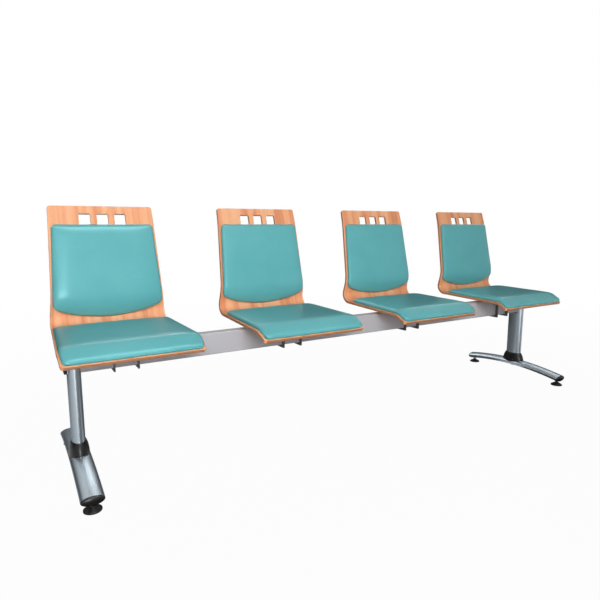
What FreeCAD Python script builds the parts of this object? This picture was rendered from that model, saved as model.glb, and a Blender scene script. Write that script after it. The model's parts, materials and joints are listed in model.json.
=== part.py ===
"""Beam seating: four upholstered plywood seats on one beam, between two arched feet.

Lengths are in millimetres and angles in degrees. X runs along the beam, the sitters face -Y,
and Z is up. The origin is on the floor, midway between the two columns.
"""
import FreeCAD, Part

import math
import os
import re

import Sketcher
from FreeCAD import Placement, Rotation, Vector

SIZES = {
    # places of the seats and the columns along the beam
    "seat_pitch": 600,
    "column_offset": 151,
    # side view of the plywood shell: its under and rear face, from the front edge to the top
    "ply_thickness": 10,
    "seat_height": 414.6,
    "seat_tilt": 1.07,
    "front_run": 48,
    "front_drop": 24.7,
    "crease_y": -152,
    "crease_radius": 40,
    "bend_y": 236,
    "bend_radius": 45,
    "lumbar_advance": 25,
    "lumbar_rise": 104.4,
    "lumbar_radius": 120,
    "neck_setback": 21.6,
    "neck_rise": 350.4,
    "neck_radius": 400,
    "top_setback": 41,
    "top_rise": 414.9,
    # half widths of the shell, seen from above and from the front
    "front_half_width": 202,
    "widest_half_width": 205.6,
    "widest_setback": 10,
    "bend_half_width": 192,
    "back_start_rise": 25.4,
    "waist_half_width": 183.6,
    "waist_rise": 130.4,
    "top_half_width": 169.8,
    "side_radius": 300,
    "shell_corner_radius": 8,
    "cut_reach": 40,
    # square windows under the top edge of the shell
    "window_width": 38,
    "window_gap": 20.5,
    "window_depth": 25,
    "window_radius": 3,
    # pads
    "pad_seat_gap": 0.4,
    "pad_margin": 4,
    "pad_edge_height": 15,
    "pad_crown": 5,
    "pad_end_crown": 1.5,
    "pad_rounding": 10,
    "pad_tuck": 3,
    "pad_corner_radius": 16,
    "seat_pad_front_margin": 1,
    "seat_pad_rear_margin": 81,
    "back_pad_top_depth": 60.5,
    "back_pad_top_half_width": 166.4,
    "back_pad_low_half_width": 182.4,
    "back_pad_low_rise": 79.4,
    "back_pad_bow": 44,
    "back_pad_bow_blend": 3,
    # seat plate and its screws
    "plate_half_width": 75,
    "plate_front_y": -115,
    "plate_rear_y": 125,
    "plate_thickness": 4,
    "plate_radius": 12,
    "seat_screw_side_inset": 15,
    "seat_screw_end_inset": 20,
    "seat_screw_diameter": 6,
    "seat_screw_head_diameter": 12,
    "seat_screw_head_height": 3.6,
    "seat_screw_socket_width": 4,
    "seat_screw_socket_depth": 2.2,
    "screw_hole_clearance": 0.6,
    "tee_nut_barrel_diameter": 8,
    "tee_nut_flange_diameter": 19,
    "tee_nut_flange_height": 1.5,
    "tee_nut_sink": 2,
    "tee_nut_lift": 1,
    "thread_clearance": 0.05,
    "tee_nut_clearance": 0.25,
    # beam
    "seat_above_beam": 13.6,
    "beam_height": 76,
    "beam_depth": 40,
    "beam_wall": 2.5,
    "beam_radius": 4,
    "beam_overhang": 20,
    "beam_cap_flange": 8,
    "beam_cap_plug": 8,
    "beam_cap_fit": 0.2,
    # bracket cheeks
    "cheek_offset": 37,
    "cheek_thickness": 4.5,
    "cheek_front_strip": 13,
    "cheek_bottom_strip": 10,
    "cheek_arm_height": 8,
    "cheek_arm_inset": 3,
    "cheek_gusset_drop": 29,
    "cheek_corner_radius": 4,
    "cheek_opening_radius": 2,
    "cheek_fit": 0.3,
    "clamp_bar_height": 26,
    "clamp_bar_gap": 3,
    "clamp_screw_x": 18,
    "clamp_screw_diameter": 8,
    "clamp_screw_head_width": 13,
    "clamp_screw_head_height": 5.3,
    # columns
    "column_half_width": 20,
    "column_half_depth": 40,
    "column_wall": 2.5,
    "column_fit": 0.3,
    "saddle_thickness": 6,
    "weld_nut_diameter": 20,
    "weld_nut_height": 8,
    "beam_bolt_diameter": 10,
    "beam_bolt_head_width": 16,
    "beam_bolt_head_height": 6.4,
    "beam_bolt_proud": 3,
    "bolt_hole_clearance": 1,
    "anchor_rise": 19,
    "anchor_height": 14,
    "foot_bolt_diameter": 12,
    "foot_bolt_head_diameter": 20,
    "foot_bolt_head_height": 2.6,
    "foot_bolt_socket_width": 8,
    "foot_bolt_socket_depth": 1.6,
    "foot_bolt_head_gap": 0.2,
    # collars: heights above the foot's centre line, and how far they stand out from the column
    "collar_foot_rise": 2,
    "collar_foot_side": 11.3,
    "collar_foot_front": 19,
    "collar_waist_rise": 21,
    "collar_waist_side": 9.5,
    "collar_waist_front": 15.5,
    "collar_shoulder_rise": 38,
    "collar_shoulder_side": 6.5,
    "collar_shoulder_front": 9.5,
    "collar_top_rise": 51,
    "collar_top_side": 1.2,
    "collar_top_front": 2,
    # arched feet
    "foot_centre_z": 59,
    "foot_arch_radius": 1440,
    "foot_half_width": 32,
    "foot_half_height": 15,
    "foot_wall": 2,
    "foot_half_length": 260,
    "foot_cap_dome": 10,
    "foot_cap_plug": 12,
    "foot_cap_web": 2,
    "foot_cap_slot": 13,
    "foot_cap_fit": 0.25,
    # levelling glides
    "glide_inset": 15,
    "bush_diameter": 18,
    "bush_fit": 0.1,
    "bush_proud": 0.3,
    "bush_length": 23,
    "stud_diameter": 10,
    "stud_clearance": 0.08,
    "stud_end_play": 0.2,
    "stud_proud": 3,
    "stud_hex_width": 14,
    "stud_hex_height": 3,
    "stud_neck_length": 4.5,
    "glide_neck_diameter": 20,
    "glide_pad_diameter": 50,
    "glide_rim_height": 4,
    "glide_rim_radius": 1.5,
    "glide_floor_thickness": 4,
}

DERIVED = {
    "front_y": "crease_y - front_run",
    "crease_z": "seat_height + crease_y * tan(seat_tilt)",
    "front_z": "crease_z - front_drop",
    "front_slope": "atan(front_drop / front_run)",
    "front_edge_y": "front_y - ply_thickness * sin(front_slope)",
    "bend_z": "seat_height + bend_y * tan(seat_tilt)",
    "lumbar_y": "bend_y - lumbar_advance",
    "lumbar_z": "seat_height + lumbar_rise",
    "neck_y": "bend_y + neck_setback",
    "neck_z": "seat_height + neck_rise",
    "top_y": "bend_y + top_setback",
    "top_z": "seat_height + top_rise",
    "side_end_y": "bend_y - bend_radius",
    "widest_y": "crease_y + widest_setback",
    "side_flare": "(widest_half_width - front_half_width) / (widest_y - front_y)",
    "cut_half_width": "front_half_width - cut_reach * side_flare",
    "back_start_z": "seat_height + back_start_rise",
    "waist_z": "seat_height + waist_rise",
    "window_top_z": "top_z - window_depth",
    "window_bottom_z": "window_top_z - window_width",
    "window_pitch": "window_width + window_gap",
    "seat_pad_rear_y": "bend_y - seat_pad_rear_margin",
    "back_pad_top_z": "top_z - back_pad_top_depth",
    "back_pad_low_z": "seat_height + back_pad_low_rise",
    "back_pad_bottom_z": "back_pad_low_z - back_pad_bow",
    "plate_under_z": "seat_height - plate_thickness / cos(seat_tilt)",
    "seat_screw_x": "plate_half_width - seat_screw_side_inset",
    "seat_screw_front_y": "plate_front_y + seat_screw_end_inset",
    "seat_screw_rear_y": "plate_rear_y - seat_screw_end_inset",
    "beam_top_z": "seat_height - seat_above_beam",
    "beam_bottom_z": "beam_top_z - beam_height",
    "beam_half_depth": "beam_depth / 2",
    "beam_half_length": "column_x + beam_overhang",
    "column_x": "1.5 * seat_pitch + column_offset",
    "cheek_front": "beam_half_depth + cheek_front_strip",
    "cheek_bottom": "beam_bottom_z - cheek_bottom_strip",
    "cheek_inside": "cheek_offset - cheek_thickness / 2",
    "cheek_arm_reach": "-plate_front_y - cheek_arm_inset",
    "cheek_gusset_z": "beam_top_z - cheek_gusset_drop",
    "arm_rise": "cheek_arm_reach * tan(seat_tilt)",
    "beam_middle_z": "beam_bottom_z + beam_height / 2",
    "clamp_bar_y": "beam_half_depth + clamp_bar_gap",
    "notch_half_depth": "beam_half_depth + column_fit",
    "saddle_bottom_z": "beam_bottom_z - saddle_thickness",
    "beam_bolt_end_z": "saddle_bottom_z - weld_nut_height",
    "anchor_bottom_z": "foot_centre_z + foot_half_height + anchor_rise",
    "foot_axis_z": "foot_centre_z - foot_arch_radius",
    "foot_sweep": "asin(foot_half_length / foot_arch_radius)",
    "foot_bottom_z": "foot_centre_z - foot_half_height",
    "stud_bore": "stud_diameter / 2 + stud_clearance",
    "glide_y": "foot_half_length - glide_inset",
    "bush_edge_y": "glide_y + bush_diameter / 2",
    "foot_edge_z": "foot_axis_z + sqrt(foot_arch_radius ^ 2 - bush_edge_y ^ 2)",
    "bush_bottom_z": "foot_edge_z - foot_half_height / cos(foot_sweep) - bush_proud",
    "stud_hex_z": "bush_bottom_z - stud_end_play - stud_hex_height",
    "glide_neck_z": "stud_hex_z - stud_neck_length",
}

# Slices of the pads: their spacing in the middle, where the turns of a rounded end lie, and the
# heights of a slice's widest place and of its shoulder as shares of its edge
SEAT_PAD_STEP = 14
BACK_PAD_STEP = 22
END_TURNS = (20, 41, 63, 90)
WIDEST_AT = 0.5
SHOULDER_AT = 0.95

SEATS = {"1": -1.5, "2": -0.5, "3": 0.5, "4": 1.5}
SIDES = {"left": -1, "right": 1}
ENDS = {"front": -1, "rear": 1}

doc = FreeCAD.newDocument("BeamSeating")
sheet = doc.addObject("Spreadsheet::Sheet", "Sizes")
for row, (name, number) in enumerate(SIZES.items(), start=1):
    sheet.set(f"A{row}", name)
    sheet.set(f"B{row}", str(number))
    sheet.setAlias(f"B{row}", name)
doc.recompute()

nodes = []


def spelled(expression):
    """The expression with every size's name pointed at the sheet"""
    def swap(match):
        word = match.group()
        if word in DERIVED:
            return "(" + spelled(DERIVED[word]) + ")"
        if word in SIZES:
            return "Sizes." + word
        return word
    return re.sub(r"[a-z][a-z_0-9]*", swap, str(expression))


def value(expression):
    """The expression's number, as the sheet gives it"""
    result = sheet.evalExpression(spelled(expression))
    return float(getattr(result, "Value", result))


def bind(thing, **properties):
    """Bind an object's properties to the sheet; a double underscore stands for a dot"""
    for path, expression in properties.items():
        thing.setExpression(path.replace("__", "."), spelled(expression))


def place(thing, x="0", y="0", z="0", tilt="0"):
    """Place a piece by expressions, with a tilt about X"""
    bind(thing, Placement__Base__x=x, Placement__Base__y=y, Placement__Base__z=z)
    if tilt != "0":
        thing.Placement.Rotation = Rotation(Vector(1, 0, 0), value(tilt))
        bind(thing, Placement__Rotation__Angle=tilt)
    nodes.append(thing)


# Sketch helpers

def new_body(label):
    body = doc.addObject("PartDesign::Body", label)
    body.Label = label
    return body


def new_sketch(body, plane, lift="0"):
    """A sketch on one of the body's own origin planes, lifted along the plane's normal"""
    sketch = body.newObject("Sketcher::SketchObject", "Sketch")
    planes = {feature.Role: feature for feature in body.Origin.OriginFeatures}
    sketch.AttachmentSupport = [(planes[plane], "")]
    sketch.MapMode = "FlatFace"
    if lift != "0":
        bind(sketch, AttachmentOffset__Base__z=lift)
    return sketch


def constrain(sketch, kind, *where, expression=None):
    """Add a constraint, and bind its number to the sheet"""
    if expression is None:
        sketch.addConstraint(Sketcher.Constraint(kind, *where))
        return
    index = sketch.addConstraint(Sketcher.Constraint(kind, *where, value(expression)))
    title = f"size_{index}"
    sketch.renameConstraint(index, title)
    sketch.setExpression("Constraints." + title, spelled(expression))


def pin_point(sketch, geometry, position, x, y):
    """Hold a point at x and y, measured from the sketch's origin"""
    for kind, expression, axis in (("DistanceX", x, -2), ("DistanceY", y, -1)):
        if expression == "0":
            sketch.addConstraint(Sketcher.Constraint("PointOnObject", geometry, position, axis))
        else:
            constrain(sketch, kind, -1, 1, geometry, position, expression=expression)


def rounding(before, corner, after, radius):
    """Where an arc of this radius at the corner starts and ends, its centre, and its turn"""
    arriving = (corner - before).normalize()
    leaving = (after - corner).normalize()
    turn = math.atan2(arriving.cross(leaving).z, arriving.dot(leaving))
    reach = radius * math.tan(abs(turn) / 2)
    start = corner - arriving * reach
    end = corner + leaving * reach
    left = Vector(-arriving.y, arriving.x, 0)
    centre = start + left * math.copysign(radius, turn)
    return start, end, centre, turn


def draw_path(sketch, corners, closed):
    """Lines through the corners, each corner with a radius rounded by a tangent arc.

    A corner is (x, y, radius) in expressions; the radius is None at a sharp corner or an end.
    """
    count = len(corners)
    spots = [Vector(value(x), value(y), 0) for x, y, _ in corners]
    starts = list(spots)
    ends = list(spots)
    arcs = {}
    for index, (_, _, radius) in enumerate(corners):
        if radius is not None:
            before = spots[index - 1]
            after = spots[(index + 1) % count]
            found = rounding(before, spots[index], after, value(radius))
            starts[index], ends[index], centre, turn = found
            first = math.atan2(starts[index].y - centre.y, starts[index].x - centre.x)
            last = math.atan2(ends[index].y - centre.y, ends[index].x - centre.x)
            if turn < 0:
                first, last = last, first
            circle = Part.Circle(centre, Vector(0, 0, 1), value(radius))
            arcs[index] = (Part.ArcOfCircle(circle, first, last), turn)
    line_count = count if closed else count - 1
    lines = []
    for index in range(line_count):
        following = (index + 1) % count
        segment = Part.LineSegment(ends[index], starts[following])
        lines.append(sketch.addGeometry(segment, False))
    arc_ids = {}
    for index, (x, y, radius) in enumerate(corners):
        is_end = not closed and index in (0, count - 1)
        if is_end:
            line, position = (lines[0], 1) if index == 0 else (lines[-1], 2)
            pin_point(sketch, line, position, x, y)
            continue
        line_in = lines[index - 1]
        line_out = lines[index]
        if radius is None:
            constrain(sketch, "Coincident", line_in, 2, line_out, 1)
            pin_point(sketch, line_out, 1, x, y)
            continue
        shape, turn = arcs[index]
        arc = sketch.addGeometry(shape, False)
        first, last = (1, 2) if turn > 0 else (2, 1)
        constrain(sketch, "Tangent", line_in, 2, arc, first)
        constrain(sketch, "Tangent", arc, last, line_out, 1)
        constrain(sketch, "Radius", arc, expression=radius)
        corner = sketch.addGeometry(Part.Point(spots[index]), True)
        constrain(sketch, "PointOnObject", corner, 1, line_in)
        constrain(sketch, "PointOnObject", corner, 1, line_out)
        pin_point(sketch, corner, 1, x, y)
        arc_ids[index] = (arc, turn)
    return lines, arc_ids


def draw_ellipse(sketch, half_x, half_y, centre_y="0"):
    """An ellipse on the sketch's axes, its centre on the vertical axis"""
    middle = Vector(0, value(centre_y), 0)
    across = Vector(value(half_x), 0, 0)
    along = Vector(0, value(half_y), 0)
    wide = across.Length > along.Length
    major, minor = (across, along) if wide else (along, across)
    curve = Part.Ellipse(middle + major, middle + minor, middle)
    ellipse = sketch.addGeometry(curve, False)
    sketch.exposeInternalGeometry(ellipse)
    long_axis = ellipse + 1
    short_axis = ellipse + 2
    constrain(sketch, "Horizontal" if wide else "Vertical", long_axis)
    long_half, short_half = (half_x, half_y) if wide else (half_y, half_x)
    constrain(sketch, "Distance", long_axis, expression=f"2 * ({long_half})")
    constrain(sketch, "Distance", short_axis, expression=f"2 * ({short_half})")
    pin_point(sketch, ellipse, 3, "0", centre_y)


def draw_circle(sketch, x, y, radius):
    centre = Vector(value(x), value(y), 0)
    circle = sketch.addGeometry(Part.Circle(centre, Vector(0, 0, 1), value(radius)), False)
    pin_point(sketch, circle, 3, x, y)
    constrain(sketch, "Radius", circle, expression=radius)


def draw_box(sketch, low_x, low_y, high_x, high_y, radius=None):
    """A rectangle, with rounded corners if a radius is given"""
    places = [(low_x, low_y), (high_x, low_y), (high_x, high_y), (low_x, high_y)]
    draw_path(sketch, [(x, y, radius) for x, y in places], closed=True)


def mirrored(corners):
    """The same corners on the other side of the sketch's vertical axis"""
    return [(f"-({x})", y, radius) for x, y, radius in reversed(corners)]


def extrude(body, kind, sketch, length, side="One side", reverse=False):
    """A Pad or a Pocket of a sketch"""
    feature = body.newObject("PartDesign::" + kind, kind)
    feature.Profile = sketch
    feature.SideType = side
    feature.Reversed = reverse
    bind(feature, Length=length)
    return feature


def turn_profile(body, kind, sketch, axis, angle, symmetric=False):
    """A Revolution or a Groove of a sketch"""
    feature = body.newObject("PartDesign::" + kind, kind)
    feature.Profile = sketch
    feature.ReferenceAxis = axis
    feature.Midplane = symmetric
    bind(feature, Angle=angle)
    return feature


def fillet(body, base, edges, radius):
    feature = body.newObject("PartDesign::Fillet", "Fillet")
    feature.Base = (base, edges)
    bind(feature, Radius=radius)
    return feature


def edges_where(feature, wanted):
    """Names of the feature's edges whose two ends both satisfy a test"""
    doc.recompute()
    names = []
    for number, edge in enumerate(feature.Shape.Edges, start=1):
        ends = [vertex.Point for vertex in edge.Vertexes]
        if len(ends) == 2 and all(wanted(point) for point in ends):
            names.append(f"Edge{number}")
    return names


# Plywood shell

SHELL_LINE = [
    ("front_y", "front_z", None),
    ("crease_y", "crease_z", "crease_radius"),
    ("bend_y", "bend_z", "bend_radius"),
    ("lumbar_y", "lumbar_z", "lumbar_radius"),
    ("neck_y", "neck_z", "neck_radius"),
    ("top_y", "top_z", None),
]


def shell_face(offset, steps=12):
    """Points along the shell's side view, offset from its under and rear face"""
    spots = [Vector(value(y), value(z), 0) for y, z, _ in SHELL_LINE]
    points = []
    first = (spots[1] - spots[0]).normalize()
    points.append(spots[0] + Vector(-first.y, first.x, 0) * offset)
    for index in range(1, len(spots) - 1):
        radius = value(SHELL_LINE[index][2])
        before, corner, after = spots[index - 1:index + 2]
        start, _, centre, turn = rounding(before, corner, after, radius)
        arm = start - centre
        arm = arm * ((radius - math.copysign(offset, turn)) / radius)
        for step in range(steps + 1):
            angle = math.degrees(turn) * step / steps
            points.append(centre + Rotation(Vector(0, 0, 1), angle).multVec(arm))
    last = (spots[-1] - spots[-2]).normalize()
    points.append(spots[-1] + Vector(-last.y, last.x, 0) * offset)
    return points


def ply_shell(seat):
    body = new_body("ply_shell_" + seat)
    side = new_sketch(body, "YZ_Plane")
    lines, arcs = draw_path(side, SHELL_LINE, closed=False)
    upper = []
    offset = value("ply_thickness")
    points = shell_face(offset, steps=1)
    for index in range(0, len(points), 2):
        upper.append(side.addGeometry(Part.LineSegment(points[index], points[index + 1]), False))
    upper_arcs = []
    for number, (arc, turn) in arcs.items():
        curve = side.Geometry[arc]
        radius = curve.Radius - math.copysign(offset, turn)
        circle = Part.Circle(curve.Center, Vector(0, 0, 1), radius)
        arch = Part.ArcOfCircle(circle, curve.FirstParameter, curve.LastParameter)
        twin = side.addGeometry(arch, False)
        sign = "-" if turn > 0 else "+"
        first, last = (1, 2) if turn > 0 else (2, 1)
        constrain(side, "Coincident", twin, 3, arc, 3)
        constrain(side, "Radius", twin, expression=f"{SHELL_LINE[number][2]} {sign} ply_thickness")
        constrain(side, "Tangent", upper[number - 1], 2, twin, first)
        constrain(side, "Tangent", twin, last, upper[number], 1)
        upper_arcs.append(twin)
    for line, twin, position in ((lines[0], upper[0], 1), (lines[-1], upper[-1], 2)):
        here = side.getPoint(line, position)
        there = side.getPoint(twin, position)
        cap = side.addGeometry(Part.LineSegment(here, there), False)
        constrain(side, "Coincident", cap, 1, line, position)
        constrain(side, "Coincident", cap, 2, twin, position)
        constrain(side, "Perpendicular", cap, line)
        constrain(side, "Perpendicular", cap, twin)
    extrude(body, "Pad", side, "2 * widest_half_width", side="Symmetric")

    above = "top_z + cut_reach"
    outside = "widest_half_width + cut_reach"
    front = new_sketch(body, "XZ_Plane")
    corners = [
        ("bend_half_width", "back_start_z", None),
        ("waist_half_width", "waist_z", "side_radius"),
        ("top_half_width", above, None),
        (outside, above, None),
        (outside, "back_start_z", None),
    ]
    draw_path(front, corners, closed=True)
    draw_path(front, mirrored(corners), closed=True)
    extrude(body, "Pocket", front, "4 * top_y", side="Symmetric")

    top = new_sketch(body, "XY_Plane")
    before = "front_y - cut_reach"
    behind = "top_y + cut_reach"
    corners = [
        ("cut_half_width", before, None),
        ("widest_half_width", "widest_y", "side_radius"),
        ("bend_half_width", "side_end_y", None),
        ("bend_half_width", behind, None),
        (outside, behind, None),
        (outside, before, None),
    ]
    draw_path(top, corners, closed=True)
    draw_path(top, mirrored(corners), closed=True)
    trimmed = extrude(body, "Pocket", top, "4 * top_z", side="Symmetric")

    reach = value("shell_corner_radius")
    at_top = edges_where(trimmed, lambda point: point.z > value("top_z") - reach)
    at_front = edges_where(trimmed, lambda point: point.y < value("front_y") + reach)
    along = value("2 * shell_corner_radius")
    corner_edges = [name for name in at_top + at_front if trimmed.Shape.getElement(name).Length < along]
    fillet(body, trimmed, corner_edges, "shell_corner_radius")

    windows = new_sketch(body, "XZ_Plane")
    for shift in (-1, 0, 1):
        low = f"{shift} * window_pitch - window_width / 2"
        high = f"{shift} * window_pitch + window_width / 2"
        draw_box(windows, low, "window_bottom_z", high, "window_top_z", "window_radius")
    extrude(body, "Pocket", windows, "4 * top_y", side="Symmetric")

    barrel = "tee_nut_barrel_diameter / 2 + tee_nut_clearance"
    flange = "tee_nut_flange_diameter / 2 + tee_nut_clearance"
    through = tee_nut_holes(body, barrel, "0")
    extrude(body, "Pocket", through, "3 * ply_thickness", side="Symmetric")
    sunk = tee_nut_holes(body, flange, "ply_thickness - tee_nut_sink")
    extrude(body, "Pocket", sunk, "ply_thickness", reverse=True)
    place(body, x=seat_x(seat))


def tee_nut_holes(body, radius, level):
    """Circles for the four tee nuts, at a level above the seat's under face and along its tilt"""
    holes = new_sketch(body, "XY_Plane")
    holes.AttachmentOffset = Placement(Vector(), Rotation(Vector(1, 0, 0), value("seat_tilt")))
    bind(
        holes,
        AttachmentOffset__Base__y=f"-({level}) * sin(seat_tilt)",
        AttachmentOffset__Base__z=f"seat_height + ({level}) * cos(seat_tilt)",
        AttachmentOffset__Rotation__Angle="seat_tilt",
    )
    for x, y in screw_places():
        draw_circle(holes, x, y, radius)
    return holes


# Pads

def between(points, given, at):
    """The other coordinate of a line of points, where one coordinate has a given value"""
    for before, after in zip(points, points[1:]):
        low, high = before[given], after[given]
        if low <= at <= high and high > low:
            share = (at - low) / (high - low)
            return before[1 - given] + share * (after[1 - given] - before[1 - given])
    raise ValueError(f"no point of the shell at {at}")


def pad_slice(half_width, height, crown, spot):
    """A closed slice of a pad: flat base, sides that bulge and draw in below, crowned top.

    spot turns a place across the pad and a height above its base into a point.
    """
    tuck = value("pad_tuck")
    shoulder = 2 * tuck
    base_right = spot(half_width - tuck, 0)
    side_right = spot(half_width, WIDEST_AT * height)
    top_right = spot(half_width - shoulder, SHOULDER_AT * height)
    top = spot(0, height + crown)
    top_left = spot(shoulder - half_width, SHOULDER_AT * height)
    side_left = spot(-half_width, WIDEST_AT * height)
    base_left = spot(tuck - half_width, 0)
    return Part.Wire([
        Part.LineSegment(base_left, base_right).toShape(),
        Part.Arc(base_right, side_right, top_right).toShape(),
        Part.Arc(top_right, top, top_left).toShape(),
        Part.Arc(top_left, side_left, base_left).toShape(),
    ])


def stations(low, high, spacing):
    """Places along a pad: close together in its rounded ends, evenly spaced between"""
    rounded = value("pad_rounding")
    ends = [rounded * (1 - math.cos(math.radians(turn))) for turn in END_TURNS]
    ends.append(rounded + spacing / 2)
    first = low + ends[-1]
    last = high - ends[-1]
    count = round((last - first) / spacing)
    middle = [first + (last - first) * step / count for step in range(1, count)]
    return [low + end for end in ends] + middle + [high - end for end in reversed(ends)]


def quarter_round(distance, radius):
    """Height, from 0 to 1, of a quarter circle at a distance from its foot"""
    share = min(distance / radius, 1)
    return math.sqrt(1 - (1 - share) ** 2)


def pad_solid(label, places, half_width_at, spot_at, low, high):
    edge = value("pad_edge_height")
    end_crown = value("pad_end_crown")
    crown = value("pad_crown")
    rounded = value("pad_rounding")
    slices = []
    for at in places:
        swell = quarter_round(min(at - low, high - at), rounded)
        arch = 1 - ((2 * at - low - high) / (high - low)) ** 2
        rise = (end_crown + (crown - end_crown) * arch) * swell
        slices.append(pad_slice(half_width_at(at), edge * swell, rise, spot_at(at)))
    pad = doc.addObject("Part::Feature", label)
    pad.Label = label
    pad.Shape = Part.makeLoft(slices, True, False)
    return pad


def seat_pad(seat):
    line = shell_face(value("ply_thickness + pad_seat_gap"))
    line = [point for point in line if point.y < value("seat_height + 2 * ply_thickness")]
    low = value("front_edge_y + seat_pad_front_margin")
    high = value("seat_pad_rear_y")
    corner = value("pad_corner_radius")
    margin = value("pad_margin")
    side = [
        Vector(value("front_y - cut_reach"), value("cut_half_width"), 0),
        Vector(value("widest_y"), value("widest_half_width"), 0),
        Vector(value("side_end_y"), value("bend_half_width"), 0),
    ]

    def half_width_at(y):
        straight = between(side, 0, y) - margin
        return straight - corner * (1 - quarter_round(min(y - low, high - y), corner))

    def spot_at(y):
        base = between(line, 0, y)
        slope = (between(line, 0, y + 1) - between(line, 0, y - 1)) / 2
        stretch = math.sqrt(1 + slope ** 2)
        return lambda x, height: Vector(x, y, base + height * stretch)

    places = stations(low, high, SEAT_PAD_STEP)
    pad = pad_solid("seat_pad_" + seat, places, half_width_at, spot_at, low, high)
    place(pad, x=seat_x(seat))


def back_pad(seat):
    line = shell_face(value("ply_thickness + pad_seat_gap"))
    line = [point for point in line if point.y > value("back_start_z - ply_thickness")]
    low = value("back_pad_bottom_z")
    high = value("back_pad_top_z")
    corner_z = value("back_pad_low_z")
    top_width = value("back_pad_top_half_width")
    low_width = value("back_pad_low_half_width")
    corner = value("pad_corner_radius")
    blend = value("back_pad_bow_blend")
    drop = corner_z - low
    sweep = (low_width ** 2 + drop ** 2) / (2 * drop)

    def half_width_at(z):
        share = (z - corner_z) / (high - corner_z)
        straight = low_width + share * (top_width - low_width)
        straight -= corner * (1 - quarter_round(high - z, corner))
        if z - low >= sweep:
            return straight
        bow = math.sqrt(sweep ** 2 - (sweep - (z - low)) ** 2)
        return -blend * math.log(math.exp(-straight / blend) + math.exp(-bow / blend))

    def spot_at(z):
        base = between(line, 1, z)
        slope = (between(line, 1, z + 1) - between(line, 1, z - 1)) / 2
        stretch = math.sqrt(1 + slope ** 2)
        return lambda x, height: Vector(x, base - height * stretch, z)

    places = [low + step * (step + 1) / 2 for step in range(1, 11)]
    places += [at for at in stations(low, high, BACK_PAD_STEP) if at > places[-1] + BACK_PAD_STEP / 2]
    pad = pad_solid("back_pad_" + seat, places, half_width_at, spot_at, low, high)
    place(pad, x=seat_x(seat))


# Seat plates and brackets

def seat_plate(seat):
    """A steel plate under the shell, in a frame of its own whose XY plane is the shell's under face"""
    body = new_body("seat_plate_" + seat)
    outline = new_sketch(body, "XY_Plane")
    left = "-plate_half_width"
    draw_box(outline, left, "plate_front_y", "plate_half_width", "plate_rear_y", "plate_radius")
    extrude(body, "Pad", outline, "plate_thickness", reverse=True)
    holes = new_sketch(body, "XY_Plane")
    for x, y in screw_places():
        draw_circle(holes, x, y, "seat_screw_diameter / 2 + screw_hole_clearance")
    extrude(body, "Pocket", holes, "3 * plate_thickness", side="Symmetric")
    place(body, x=seat_x(seat), z="seat_height", tilt="seat_tilt")


def bracket_cheek(seat, side):
    """An upright plate that hangs round the beam and carries the seat plate"""
    body = new_body(f"bracket_cheek_{seat}_{side}")
    outline = new_sketch(body, "YZ_Plane")
    reach = "cheek_arm_reach"
    draw_path(outline, [
        ("-cheek_arm_reach", "plate_under_z - arm_rise", None),
        ("-cheek_arm_reach", "plate_under_z - arm_rise - cheek_arm_height", None),
        ("-cheek_front", "cheek_gusset_z", None),
        ("-cheek_front", "cheek_bottom", "cheek_corner_radius"),
        ("cheek_front", "cheek_bottom", "cheek_corner_radius"),
        ("cheek_front", "cheek_gusset_z", None),
        (reach, "plate_under_z + arm_rise - cheek_arm_height", None),
        (reach, "plate_under_z + arm_rise", None),
    ], closed=True)
    high = "beam_top_z + cheek_fit"
    low = "beam_bottom_z - cheek_fit"
    half = "beam_half_depth + cheek_fit"
    draw_box(outline, f"-({half})", low, half, high, "cheek_opening_radius")
    extrude(body, "Pad", outline, "cheek_thickness", side="Symmetric")
    place(body, x=f"{seat_x(seat)} + {SIDES[side]} * cheek_offset")


def seat_x(seat):
    return f"{SEATS[seat]} * seat_pitch"


def screw_places():
    """Where the four screws of a seat go, in expressions"""
    rows = ("seat_screw_front_y", "seat_screw_rear_y")
    return [(x, y) for x in ("-seat_screw_x", "seat_screw_x") for y in rows]


# Fasteners and clamp bars: each kind is one node of separate, identical solids

def disc(diameter, low, high):
    return Part.makeCylinder(value(diameter) / 2, value(high) - value(low), Vector(0, 0, value(low)))


def hexagon(width, low, high):
    """A six-sided prism, measured across its flats"""
    reach = value(width) / math.sqrt(3)
    turns = [math.radians(60 * step) for step in range(7)]
    ring = [Vector(reach * math.cos(turn), reach * math.sin(turn), value(low)) for turn in turns]
    return Part.Face(Part.makePolygon(ring)).extrude(Vector(0, 0, value(high) - value(low)))


def group_of(label, shape, placements):
    """One node of identical solids, a copy of the shape at each placement"""
    copies = []
    for spot in placements:
        copy = shape.copy()
        copy.Placement = spot
        copies.append(copy)
    group = doc.addObject("Part::Feature", label)
    group.Label = label
    group.Shape = Part.makeCompound(copies)
    nodes.append(group)


def under_seat_spots():
    """Placements of the seat screws, upright on the shell's tilted under face"""
    tilt = Rotation(Vector(1, 0, 0), value("seat_tilt"))
    spots = []
    for seat in SEATS:
        corner = Vector(value(seat_x(seat)), 0, value("seat_height"))
        for x, y in screw_places():
            spots.append(Placement(corner + tilt.multVec(Vector(value(x), value(y), 0)), tilt))
    return spots


def seat_screws():
    under = "-(plate_thickness + seat_screw_head_height)"
    nut_top = "ply_thickness - tee_nut_sink"
    head = disc("seat_screw_head_diameter", under, "-plate_thickness")
    shank = disc("seat_screw_diameter", "-plate_thickness", nut_top)
    socket = hexagon("seat_screw_socket_width", under, f"{under} + seat_screw_socket_depth")
    group_of("seat_screws", head.fuse(shank).cut(socket), under_seat_spots())


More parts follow.
